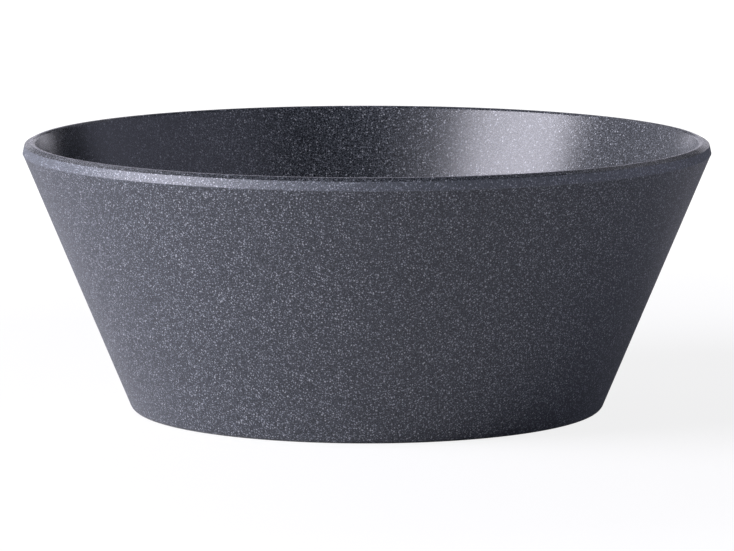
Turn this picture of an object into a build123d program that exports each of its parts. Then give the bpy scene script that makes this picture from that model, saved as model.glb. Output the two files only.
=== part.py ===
from build123d import *
from math import atan2, cos, degrees, radians, sin, tan
import os

# A round serving bowl, compression moulded in one piece of speckled melamine: a flat floor,
# a straight wall that leans outwards, and a narrow band round the rim where the mould parts.
# Millimetres, +Z up. The origin is on the bowl's axis, on the surface that it stands on.

# Outside
rim_diameter = 200.0  # widest circle, at the band's lower edge
rim_height = 75.1  # from the table up to that circle
foot_diameter = 137.0  # where the wall's outer slope would reach the table

# Thickness
wall_thickness = 4.4  # square to the slope
floor_thickness = 4.0

# Rim
band_height = 2.5
band_lean = 0.55  # how far the band's top edge is inside its lower edge
band_step = 0.15  # how far the band stands out from the wall below it
lip_slope = 28.0  # degrees by which the lip's top face climbs inwards
lip_round = 1.2

# Foot and inside corner
foot_round = 2.5
foot_ring_width = 6.0  # flat ring that the bowl stands on
foot_recess = 1.2  # how far the underside is raised inside that ring
recess_draft = 1.0  # how far the recess narrows over its depth
recess_round = 0.6  # on both edges of the recess's slope
inner_corner_round = 8.0  # from the floor into the wall, inside

# The outer wall, as a line in the section from the foot to the band
rim_radius = rim_diameter / 2
foot_radius = foot_diameter / 2
wall_top_radius = rim_radius - band_step
wall_top_height = rim_height - band_step
wall_slope = atan2(wall_top_radius - foot_radius, wall_top_height)


def inner_radius(height):
    """Radius of the inner wall, which runs parallel to the outer one."""
    return foot_radius + height * tan(wall_slope) - wall_thickness / cos(wall_slope)


# The band's top edge, and how far it lies inside the outer wall's line, square to the slope
band_top_radius = rim_radius - band_lean
band_top_height = rim_height + band_height
band_inset = band_top_height * sin(wall_slope) - (band_top_radius - foot_radius) * cos(wall_slope)

# The lip's top face climbs from there until it meets the inner wall
lip_angle = radians(lip_slope)
lip_width = (wall_thickness - band_inset) / cos(lip_angle - wall_slope)
lip_corner_radius = band_top_radius - lip_width * cos(lip_angle)
lip_corner_height = band_top_height + lip_width * sin(lip_angle)

# The foot's rounding ends on the ground inside the outer slope, and the flat ring starts there
foot_turn = radians(90) - wall_slope
ring_outer_radius = foot_radius - foot_round * tan(foot_turn / 2)
ring_inner_radius = ring_outer_radius - foot_ring_width
floor_top = foot_recess + floor_thickness

# The section's corners, from the underside's centre outwards and back, each with its rounding
section_corners = [
    ((0, foot_recess), 0),
    ((ring_inner_radius - recess_draft, foot_recess), recess_round),
    ((ring_inner_radius, 0), recess_round),
    ((foot_radius, 0), foot_round),
    ((wall_top_radius, wall_top_height), 0),
    ((rim_radius, rim_height), 0),
    ((band_top_radius, band_top_height), 0),
    ((lip_corner_radius, lip_corner_height), lip_round),
    ((inner_radius(floor_top), floor_top), inner_corner_round),
    ((0, floor_top), 0),
]
points, roundings = zip(*section_corners)

with BuildPart() as bowl:
    with BuildSketch(Plane.XZ):
        with BuildLine():
            FilletPolyline(*points, radius=roundings, close=True)
        make_face()
    revolve(axis=Axis.Z)

bowl.part.label = "bowl"

os.makedirs("parts", exist_ok=True)
export_step(bowl.part, "parts/bowl.step")

box = bowl.part.bounding_box()
print("overall", box.size, "from", box.min.Z, "to", box.max.Z)
print("wall slope from the vertical", degrees(wall_slope))
print("foot ring radii", ring_inner_radius, ring_outer_radius)
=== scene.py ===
import math

import bpy
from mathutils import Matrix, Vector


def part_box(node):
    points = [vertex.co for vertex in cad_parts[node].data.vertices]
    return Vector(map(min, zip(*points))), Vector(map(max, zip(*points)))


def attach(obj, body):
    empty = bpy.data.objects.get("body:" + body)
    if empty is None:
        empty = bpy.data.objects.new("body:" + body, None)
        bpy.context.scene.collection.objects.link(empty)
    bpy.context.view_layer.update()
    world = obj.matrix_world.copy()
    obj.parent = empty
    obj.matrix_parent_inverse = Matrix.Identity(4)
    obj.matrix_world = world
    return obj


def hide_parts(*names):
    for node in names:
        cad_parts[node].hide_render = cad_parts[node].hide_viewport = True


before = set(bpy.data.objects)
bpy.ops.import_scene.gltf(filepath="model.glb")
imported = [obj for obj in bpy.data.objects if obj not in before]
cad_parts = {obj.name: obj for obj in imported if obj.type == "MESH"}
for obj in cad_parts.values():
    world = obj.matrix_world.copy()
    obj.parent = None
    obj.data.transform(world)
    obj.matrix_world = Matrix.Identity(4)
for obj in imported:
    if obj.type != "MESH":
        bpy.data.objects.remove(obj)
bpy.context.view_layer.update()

# ---------------------------------------------------------------------------------------------
# Sizes of the moulding, in metres
# ---------------------------------------------------------------------------------------------
MM = 0.001

FOOT_RADIUS = 68.5 * MM  # where the wall's outer slope would reach the table
WALL = 4.4 * MM
FLOOR = 4.0 * MM
BAND_HEIGHT = 2.5 * MM
BAND_LEAN = 0.55 * MM
BAND_STEP = 0.15 * MM
LIP_SLOPE = math.radians(28)
LIP_ROUND = 1.2 * MM
FOOT_ROUND = 2.5 * MM
RING_WIDTH = 6.0 * MM
RECESS = 1.2 * MM
RECESS_DRAFT = 1.0 * MM
RECESS_ROUND = 0.6 * MM
CORNER_ROUND = 8.0 * MM
EDGE_ROUND = 0.3 * MM  # the band's top edge, polished off
STEP_ROUND = 0.06 * MM  # both corners of the small step under the band

SEGMENTS = 384  # steps round the bowl
ROUND_POINTS = 9  # points in each rounding
WELD = 0.002 * MM  # closes the seam and the two poles


def widest_circle(node):
    """Radius and height of the bowl's widest circle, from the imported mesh."""
    corners = [v.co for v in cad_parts[node].data.vertices]
    radius = max(math.hypot(c.x, c.y) for c in corners)
    heights = [c.z for c in corners if math.hypot(c.x, c.y) > radius - 0.001 * MM]
    return radius, sum(heights) / len(heights)


RIM_RADIUS, RIM_HEIGHT = widest_circle("bowl")
LIP_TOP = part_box("bowl")[1][2]

# ---------------------------------------------------------------------------------------------
# The finish
# ---------------------------------------------------------------------------------------------
# Flakes, in millimetres: the cell that holds one, its smallest and largest radius, the width
# of its soft edge, and the share of the cells that have one
DUST = dict(spacing=0.46, smallest=0.07, largest=0.24, softness=0.07, share=1.0)
CHIPS = dict(spacing=0.74, smallest=0.09, largest=0.28, softness=0.08, share=0.5)
PITS = dict(spacing=0.70, smallest=0.09, largest=0.27, softness=0.08, share=0.65)

# Noises, by the millimetre
GRAIN = dict(Scale=3.0, Detail=2.0, Roughness=0.6)
GRAIN_CONTRAST, GRAIN_LEVEL = 6.0, 0.4
CLOUD = dict(Scale=0.12, Detail=3.0)
SCUFFS = dict(Scale=0.5, Detail=6.0, Roughness=0.7)

# Where each zone starts, and how wide its edge is, in millimetres
INNER_FACE = (2.0, 0.25)  # depth into the wall, square to its slope
UPPER_FACE = (3.0, 0.25)  # height
LIP_FACE = (-0.1, 1 / 8)  # height over the band's top edge
BAND_FACE = (-0.25, 1 / 6)  # height over the widest circle
PAINTED_HIGHLIGHT_CROWN = (-0.12, 1 / 12)  # height over the lip's top, where a painted highlight runs along the lip's crown
STANDING_RING = (-0.25, 1 / 6)  # height, counted downwards
SCUFFED = (0.45, 0.2)  # level of the scuffs' noise

DARK_GROUND = (0.009, 0.0105, 0.0135, 1)
PALE_GROUND = (0.017, 0.0195, 0.0235, 1)
POWDER_BLUE = (0.082, 0.093, 0.109, 1)
DUST_GREY = (0.265, 0.283, 0.313, 1)
CHIP_WHITE = (0.43, 0.445, 0.47, 1)
PIT_BLACK = (0.007, 0.008, 0.010, 1)
RUBBED_BLUE = (0.34, 0.37, 0.42, 1)
# Pale grey for the scuffs under the foot, and for the painted highlight along the lip's crown
WORN_AND_HIGHLIGHT_GREY = (0.30, 0.30, 0.33, 1)

# Roughness outside and inside, and how far the grain changes it
MATTE, MATTE_GRAIN = 0.45, 0.14
GLOSS, GLOSS_GRAIN = 0.28, 0.05
MELAMINE_IOR = 1.6
RELIEF = 0.024 * MM  # how far the grain and the flakes stand out

# ---------------------------------------------------------------------------------------------
# The studio
# ---------------------------------------------------------------------------------------------
CAMERA_TARGET = 38.6 * MM  # height of the point looked at
CAMERA_DISTANCE = 1.5796
CAMERA_ELEVATION = math.radians(7.579)
CAMERA_LENS = 265.54
SENSOR_WIDTH = 36.0

FLOOR_HALF = 4.0
FLOOR_SINK = 0.02 * MM  # keeps the floor and the foot ring out of one plane
FLOOR_PAINT = (0.7, 0.7, 0.7, 1)
PAPER_NEAR = 0.75  # share of plain white that the camera sees in the floor near the bowl
PAPER_START, PAPER_RISE = 0.2, 0.4  # where that share starts to grow, and over what distance
PAPER_STRENGTH = 1.12
WHITE = (1, 1, 1, 1)
ROOM_LIGHT = 0.03

LAMP_DISTANCE = 1.2
LAMP_AIM = 0.05  # height that the lamps point at
DAYLIGHT = (0.97, 0.95, 1.075)
SKYLIGHT = (0.90, 0.92, 1.20)
LAMPS = [
    # name, azimuth, elevation, width and height seen from the bowl (degrees), brightness, colour
    ("low softbox", 198, 13, 33, 26, 10.3, DAYLIGHT),
    ("high softbox", 203, 37, 46, 23, 9.3, DAYLIGHT),
    ("high panel", 238, 40, 34, 18, 0.8, DAYLIGHT),
    ("left panel", 139, 26, 51, 52, 0.50, DAYLIGHT),
    ("right panel", -5, 24, 82, 48, 0.55, SKYLIGHT),
    ("back strip", 90, 8, 50, 8, 1.4, DAYLIGHT),
    ("back panel", 80, 38, 90, 24, 0.34, DAYLIGHT),
]


# ---------------------------------------------------------------------------------------------
# Nodes written as Python expressions
# ---------------------------------------------------------------------------------------------
class Wire:
    """What comes out of a node. Arithmetic on it adds Math nodes to the same tree."""

    def __init__(self, socket):
        self.socket = socket
        self.tree = socket.id_data

    def math(self, operation, *others, clamp=False):
        return Nodes(self.tree).add(
            "ShaderNodeMath", dict(operation=operation, use_clamp=clamp), self, *others
        )

    def __add__(self, other):
        return self.math("ADD", other)

    __radd__ = __add__

    def __mul__(self, other):
        return self.math("MULTIPLY", other)

    __rmul__ = __mul__

    def __sub__(self, other):
        return self.math("SUBTRACT", other)

    def __rsub__(self, other):
        return Nodes(self.tree).add("ShaderNodeMath", dict(operation="SUBTRACT"), other, self)

    def __truediv__(self, other):
        return self.math("DIVIDE", other)

    def __rtruediv__(self, other):
        return Nodes(self.tree).add("ShaderNodeMath", dict(operation="DIVIDE"), other, self)

    def clamped(self):
        return self.math("ADD", 0.0, clamp=True)

    def above(self, start, rise):
        """0 below the start, 1 from a rise above it, and a straight line between."""
        return ((self - start) * (1 / rise)).clamped()

    def output(self, name):
        """Another output of the same node."""
        return Wire(self.socket.node.outputs[name])


class Nodes:
    """Adds nodes to a tree: settings first, then the values or links of its sockets."""

    def __init__(self, tree):
        self.tree = tree

    def add(self, kind, settings=None, *values, out=0, **named):
        node = self.tree.nodes.new(kind)
        for name, value in (settings or {}).items():
            setattr(node, name, value)
        for socket, value in zip(node.inputs, values):
            self.feed(socket, value)
        for name, value in named.items():
            name = name.replace("_", " ")
            self.feed(next(s for s in node.inputs if s.name == name and s.enabled), value)
        return Wire(node.outputs[out]) if node.outputs else node

    def blend(self, factor, first, second):
        """A colour between two, by a factor from 0 to 1."""
        return self.add("ShaderNodeMix", dict(data_type="RGBA"), factor, out=2, A=first, B=second)

    def feed(self, socket, value):
        if isinstance(value, Wire):
            self.tree.links.new(value.socket, socket)
        else:
            socket.default_value = value


def node_material(name):
    """A material with an empty tree, and the means to fill it."""
    material = bpy.data.materials.new(name)
    material.use_nodes = True
    material.node_tree.nodes.clear()
    return material, Nodes(material.node_tree)


def place(name, data):
    """A new object in the scene."""
    made = bpy.data.objects.new(name, data)
    bpy.context.scene.collection.objects.link(made)
    return made


# ---------------------------------------------------------------------------------------------
# The bowl: its section, turned about the axis
# ---------------------------------------------------------------------------------------------
def turned_bowl_tree():
    """The section's corners are worked out from the sizes, rounded, and turned round a circle."""
    tree = bpy.data.node_groups.new("Turned bowl", "GeometryNodeTree")
    nodes = Nodes(tree)
    sizes = dict(
        rim_radius=RIM_RADIUS, rim_height=RIM_HEIGHT, foot_radius=FOOT_RADIUS, wall=WALL,
        floor=FLOOR, band_height=BAND_HEIGHT, band_lean=BAND_LEAN, band_step=BAND_STEP,
        lip_slope=LIP_SLOPE, lip_round=LIP_ROUND, foot_round=FOOT_ROUND, ring_width=RING_WIDTH,
        recess=RECESS, recess_draft=RECESS_DRAFT, recess_round=RECESS_ROUND,
        corner_round=CORNER_ROUND, edge_round=EDGE_ROUND, step_round=STEP_ROUND,
    )
    counts = dict(segments=SEGMENTS, round_points=ROUND_POINTS)
    for name in sizes:
        tree.interface.new_socket(name, in_out="INPUT", socket_type="NodeSocketFloat")
    for name in counts:
        tree.interface.new_socket(name, in_out="INPUT", socket_type="NodeSocketInt")
    tree.interface.new_socket("material", in_out="INPUT", socket_type="NodeSocketMaterial")
    tree.interface.new_socket("bowl", in_out="OUTPUT", socket_type="NodeSocketGeometry")
    given = tree.nodes.new("NodeGroupInput")
    size = {s.name: Wire(s) for s in given.outputs if s.name}

    # The outer wall's slope, from the foot up to the band
    wall_top_radius = size["rim_radius"] - size["band_step"]
    wall_top_height = size["rim_height"] - size["band_step"]
    slope = (wall_top_radius - size["foot_radius"]).math("ARCTAN2", wall_top_height)
    sine, cosine, tangent = slope.math("SINE"), slope.math("COSINE"), slope.math("TANGENT")

    # The lip's top face climbs from the band's top edge to the inner wall
    band_top_radius = size["rim_radius"] - size["band_lean"]
    band_top_height = size["rim_height"] + size["band_height"]
    inset = band_top_height * sine - (band_top_radius - size["foot_radius"]) * cosine
    lip_width = (size["wall"] - inset) / (size["lip_slope"] - slope).math("COSINE")
    lip_radius = band_top_radius - lip_width * size["lip_slope"].math("COSINE")
    lip_height = band_top_height + lip_width * size["lip_slope"].math("SINE")

    # The flat ring starts where the foot's rounding ends
    half_turn = ((math.pi / 2 - slope) / 2).math("TANGENT")
    ring_radius = size["foot_radius"] - size["foot_round"] * half_turn - size["ring_width"]
    floor_top = size["recess"] + size["floor"]
    floor_radius = size["foot_radius"] + floor_top * tangent - size["wall"] / cosine

    # Radius, height and rounding of each corner, from the underside's centre out and back
    corners = [
        (0.0, size["recess"], 0.0),
        (ring_radius - size["recess_draft"], size["recess"], size["recess_round"]),
        (ring_radius, 0.0, size["recess_round"]),
        (size["foot_radius"], 0.0, size["foot_round"]),
        (wall_top_radius, wall_top_height, size["step_round"]),
        (size["rim_radius"], size["rim_height"], size["step_round"]),
        (band_top_radius, band_top_height, size["edge_round"]),
        (lip_radius, lip_height, size["lip_round"]),
        (floor_radius, floor_top, size["corner_round"]),
        (0.0, floor_top, 0.0),
    ]

    def by_corner(data_type, values):
        """The value that belongs to a point's own number."""
        switch = tree.nodes.new("GeometryNodeIndexSwitch")
        switch.data_type = data_type
        while len(switch.index_switch_items) < len(values):
            switch.index_switch_items.new()
        nodes.feed(switch.inputs["Index"], nodes.add("GeometryNodeInputIndex"))
        for number, value in enumerate(values):
            nodes.feed(switch.inputs[number + 1], value)
        return Wire(switch.outputs[0])

    # The circle turns what it carries upside down, and takes radii from its own line outwards
    points = [
        nodes.add("ShaderNodeCombineXYZ", {}, radius - size["rim_radius"], 0 - height, 0.0)
        for radius, height, _ in corners
    ]
    rounding = by_corner("FLOAT", [r for _, _, r in corners])
    line = nodes.add("GeometryNodeMeshLine", {}, len(corners))
    line = nodes.add("GeometryNodeSetPosition", {}, line, Position=by_corner("VECTOR", points))
    section = nodes.add("GeometryNodeMeshToCurve", {}, line)
    section = nodes.add(
        "GeometryNodeFilletCurve", dict(mode="POLY"), section, size["round_points"], rounding, True
    )
    circle = nodes.add(
        "GeometryNodeCurvePrimitiveCircle", {}, size["segments"], Radius=size["rim_radius"]
    )
    bowl = nodes.add("GeometryNodeCurveToMesh", {}, circle, Profile_Curve=section)
    bowl = nodes.add("GeometryNodeMergeByDistance", {}, bowl, Distance=WELD)
    bowl = nodes.add("GeometryNodeFlipFaces", {}, bowl)
    bowl = nodes.add("GeometryNodeSetShadeSmooth", {}, bowl)
    bowl = nodes.add("GeometryNodeRealizeInstances", {}, bowl)
    bowl = nodes.add("GeometryNodeSetMaterial", {}, bowl, Material=size["material"])
    result = tree.nodes.new("NodeGroupOutput")
    tree.links.new(bowl.socket, result.inputs[0])
    return tree, {**sizes, **counts}


def make_bowl(material):
    tree, values = turned_bowl_tree()
    blank = place("bowl_blank", bpy.data.meshes.new("bowl_blank"))
    modifier = blank.modifiers.new("Turned bowl", "NODES")
    modifier.node_group = tree
    socket = {s.name: s.identifier for s in tree.interface.items_tree if s.in_out == "INPUT"}
    for name, value in values.items():
        modifier[socket[name]] = value
    modifier[socket["material"]] = material

    # The large faces keep their own normals, so that only the roundings are shaded as curved
    flat_walls = blank.modifiers.new("Flat walls", "WEIGHTED_NORMAL")
    flat_walls.weight = 100
    flat_walls.keep_sharp = True

    depsgraph = bpy.context.evaluated_depsgraph_get()
    mesh = bpy.data.meshes.new_from_object(blank.evaluated_get(depsgraph))
    bpy.data.objects.remove(blank)
    mesh.name = "moulded_bowl"
    return place("moulded_bowl", mesh)


def speckled_melamine():
    """Dark blue-grey melamine full of pale flakes: matte outside, glossy inside."""
    material, nodes = node_material("Speckled melamine")

    # Millimetres from the middle of the foot
    spot = nodes.add("ShaderNodeTexCoord", out=3)
    spot = nodes.add("ShaderNodeVectorMath", dict(operation="SCALE"), spot, Scale=1 / MM)
    across = nodes.add("ShaderNodeSeparateXYZ", {}, spot)
    along, height = across.output("Y"), across.output("Z")
    radius = (across * across + along * along).math("SQRT")

    # The glossy half of the mould makes everything inside the band's top edge
    slope = math.atan2(RIM_RADIUS - BAND_STEP - FOOT_RADIUS, RIM_HEIGHT - BAND_STEP)
    depth = height * math.sin(slope) - (radius - FOOT_RADIUS / MM) * math.cos(slope)
    inner_side = depth.above(*INNER_FACE) * height.above(*UPPER_FACE)
    lip_face = (height - (RIM_HEIGHT + BAND_HEIGHT) / MM).above(*LIP_FACE)
    inside = inner_side.math("MAXIMUM", lip_face)

    # The moulding flash is rubbed off the band, which leaves it paler and bares more flakes
    band = (height - RIM_HEIGHT / MM).above(*BAND_FACE) * (1 - inside)

    def flakes(spacing, smallest, largest, softness, share):
        """Round flakes, one in each cell of the filler, and each cell's own chance."""
        distance = nodes.add("ShaderNodeTexVoronoi", {}, spot, Scale=1 / spacing)
        chance = nodes.add("ShaderNodeSeparateColor", {}, distance.output("Color"))
        size = smallest + chance.output("Green") * (largest - smallest)
        shape = ((size - distance * spacing) * (1 / softness)).clamped()
        return shape * chance.math("LESS_THAN", share)

    grain = nodes.add("ShaderNodeTexNoise", {}, spot, **GRAIN)
    grain = ((grain - 0.5) * GRAIN_CONTRAST + GRAIN_LEVEL).clamped()
    cloud = nodes.add("ShaderNodeTexNoise", {}, spot, **CLOUD)
    dust, chips, pits = flakes(**DUST), flakes(**CHIPS), flakes(**PITS)

    # Each layer covers the ones before it, a little less so inside
    ground = nodes.blend(cloud, DARK_GROUND, PALE_GROUND)
    powder = nodes.blend(grain * (0.85 - 0.35 * inside + 0.15 * band), ground, POWDER_BLUE)
    speckled = nodes.blend(dust * (0.95 - 0.25 * inside), powder, DUST_GREY)
    chipped = nodes.blend(chips * (0.95 - 0.1 * inside), speckled, CHIP_WHITE)
    pitted = nodes.blend(pits * 0.9, chipped, PIT_BLACK)
    rubbed = nodes.blend(band * (0.15 + 0.25 * dust), pitted, RUBBED_BLUE)

    # A painted highlight, a pale line where light would glint, runs along the lip's crown, and
    # real wear scuffs the ring under the foot pale
    painted_highlight_crown = (height - LIP_TOP / MM).above(*PAINTED_HIGHLIGHT_CROWN) * (0.40 + 0.25 * grain)
    scuffs = nodes.add("ShaderNodeTexNoise", {}, spot, **SCUFFS)
    ring = (0 - height).above(*STANDING_RING) * scuffs.above(*SCUFFED) * 0.5
    colour = nodes.blend(painted_highlight_crown.math("MAXIMUM", ring), rubbed, WORN_AND_HIGHLIGHT_GREY)

    matte = MATTE + (grain - 0.5) * MATTE_GRAIN
    gloss = GLOSS + (grain - 0.5) * GLOSS_GRAIN
    roughness = matte + (gloss - matte) * inside

    # Grain and dust stand out, pits are sunk, and the glossy half is pressed nearly smooth
    relief = (grain * 0.6 + dust * 0.6 - pits) * (1 - 0.75 * inside)
    normal = nodes.add("ShaderNodeBump", {}, Strength=1.0, Distance=RELIEF, Height=relief)
    shader = nodes.add(
        "ShaderNodeBsdfPrincipled", {},
        Base_Color=colour, Roughness=roughness, IOR=MELAMINE_IOR, Normal=normal,
    )
    nodes.add("ShaderNodeOutputMaterial", {}, shader)
    return material


bowl = make_bowl(speckled_melamine())
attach(bowl, "root")
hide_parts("bowl")


# ---------------------------------------------------------------------------------------------
# Floor, camera and light
# ---------------------------------------------------------------------------------------------
def white_floor():
    """A white floor that the camera sees bright enough to look like paper, with a faint shadow.

    Only the camera sees the paper white. The bowl has no metal or glass, and its dark plastic
    mirrors the floor's own lit paint.
    """
    material, nodes = node_material("White floor")
    spot = nodes.add("ShaderNodeTexCoord", out=3)
    far = nodes.add("ShaderNodeVectorMath", dict(operation="LENGTH"), spot, out=1)
    paper = PAPER_NEAR + (1 - PAPER_NEAR) * far.above(PAPER_START, PAPER_RISE)
    seen = nodes.add("ShaderNodeLightPath", out=0)
    paint = nodes.add("ShaderNodeBsdfDiffuse", {}, FLOOR_PAINT)
    white = nodes.add("ShaderNodeEmission", {}, WHITE, PAPER_STRENGTH)
    shader = nodes.add("ShaderNodeMixShader", {}, paper * seen, paint, white)
    nodes.add("ShaderNodeOutputMaterial", {}, shader)

    turns = [(-1, -1), (1, -1), (1, 1), (-1, 1)]
    corners = [(x * FLOOR_HALF, y * FLOOR_HALF, -FLOOR_SINK) for x, y in turns]
    mesh = bpy.data.meshes.new("floor")
    mesh.from_pydata(corners, [], [(0, 1, 2, 3)])
    mesh.materials.append(material)
    return place("floor", mesh)


def camera():
    """A long lens from the front, a little above the rim."""
    data = bpy.data.cameras.new("camera")
    data.sensor_width = SENSOR_WIDTH
    data.lens = CAMERA_LENS
    made = place("camera", data)
    back = CAMERA_DISTANCE * math.cos(CAMERA_ELEVATION)
    up = CAMERA_DISTANCE * math.sin(CAMERA_ELEVATION)
    made.location = (0.0, -back, CAMERA_TARGET + up)
    made.rotation_euler = (math.pi / 2 - CAMERA_ELEVATION, 0.0, 0.0)
    return made


def lamp(name, azimuth, elevation, width, height, brightness, colour):
    """A flat soft lamp aimed at the bowl. Its width and height are angles seen from the bowl."""
    azimuth, elevation, width, height = (
        math.radians(v) for v in (azimuth, elevation, width, height)
    )
    data = bpy.data.lights.new(name, "AREA")
    data.shape = "RECTANGLE"
    data.size = 2 * LAMP_DISTANCE * math.cos(elevation) * math.tan(width / 2)
    data.size_y = 2 * LAMP_DISTANCE * math.tan(height / 2)
    data.energy = brightness * math.pi * data.size * data.size_y
    data.color = colour
    light = place(name, data)
    light.location = (
        LAMP_DISTANCE * math.cos(azimuth) * math.cos(elevation),
        LAMP_DISTANCE * math.sin(azimuth) * math.cos(elevation),
        LAMP_AIM + LAMP_DISTANCE * math.sin(elevation),
    )
    light.rotation_euler = (math.pi / 2 - elevation, 0.0, azimuth + math.pi / 2)
    light.visible_camera = False


def studio_world():
    """White for the camera, and a dim fill for everything else."""
    world = bpy.data.worlds.new("Studio")
    bpy.context.scene.world = world
    world.use_nodes = True
    world.node_tree.nodes.clear()
    nodes = Nodes(world.node_tree)
    seen = nodes.add("ShaderNodeLightPath", out=0)
    strength = ROOM_LIGHT + (1 - ROOM_LIGHT) * seen
    background = nodes.add("ShaderNodeBackground", {}, WHITE, strength)
    nodes.add("ShaderNodeOutputWorld", {}, background)


white_floor()
bpy.context.scene.camera = camera()
for row in LAMPS:
    lamp(*row)
studio_world()
bpy.context.scene.view_settings.view_transform = "Standard"
